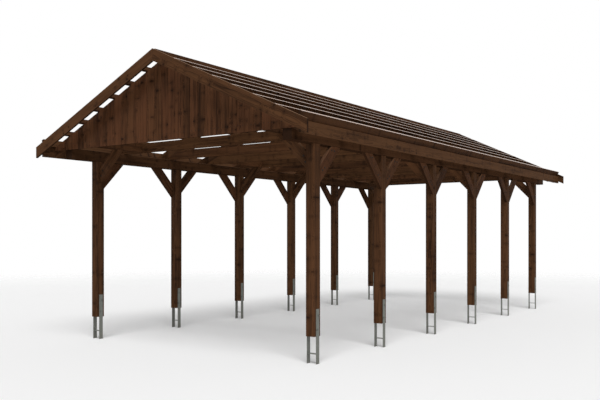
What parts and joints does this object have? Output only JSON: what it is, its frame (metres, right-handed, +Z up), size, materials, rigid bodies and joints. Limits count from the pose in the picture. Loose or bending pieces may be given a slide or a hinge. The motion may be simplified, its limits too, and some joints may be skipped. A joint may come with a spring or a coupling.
{
  "type": "carport",
  "caption": "Open timber carport: square posts on steel ground anchors, braced eaves beams, and a gabled roof frame of trusses and tiling battens with boarded gable ends.",
  "frame": {"origin": "middle of the plan at the level of the ground anchors' feet, halfway between the two rows and between the front and rear posts", "axes": "+X across the gable to the right-hand row as seen from the front, +Y back along the ridge from the front gable, +Z up"},
  "size_m": [4.3, 8.975, 3.556],
  "materials": {
    "stained_timber": "planed softwood with a dark brown stain, matt",
    "galvanised_steel": "hot-dip galvanised, dull grey"
  },
  "bodies": {
    "root": {"post_left_1": "stained_timber", "post_left_2": "stained_timber", "post_left_3": "stained_timber", "post_left_4": "stained_timber", "post_left_5": "stained_timber", "post_left_6": "stained_timber", "post_right_1": "stained_timber", "post_right_2": "stained_timber", "post_right_3": "stained_timber", "post_right_4": "stained_timber", "post_right_5": "stained_timber", "post_right_6": "stained_timber", "anchors_left": "galvanised_steel", "anchors_right": "galvanised_steel", "eaves_beam_left": "stained_timber", "eaves_beam_right": "stained_timber", "braces_left": "stained_timber", "braces_right": "stained_timber", "cross_braces": "stained_timber", "brace_trimmers": "stained_timber", "tie_beams": "stained_timber", "rafters_left": "stained_timber", "rafters_right": "stained_timber", "battens_left": "stained_timber", "battens_right": "stained_timber", "ridge_batten": "stained_timber", "gable_boarding_front": "stained_timber", "gable_boarding_rear": "stained_timber", "bargeboard_front_left": "stained_timber", "bargeboard_front_right": "stained_timber", "bargeboard_rear_left": "stained_timber", "bargeboard_rear_right": "stained_timber", "fascia_left": "stained_timber", "fascia_right": "stained_timber"}
  },
  "joints": []
}
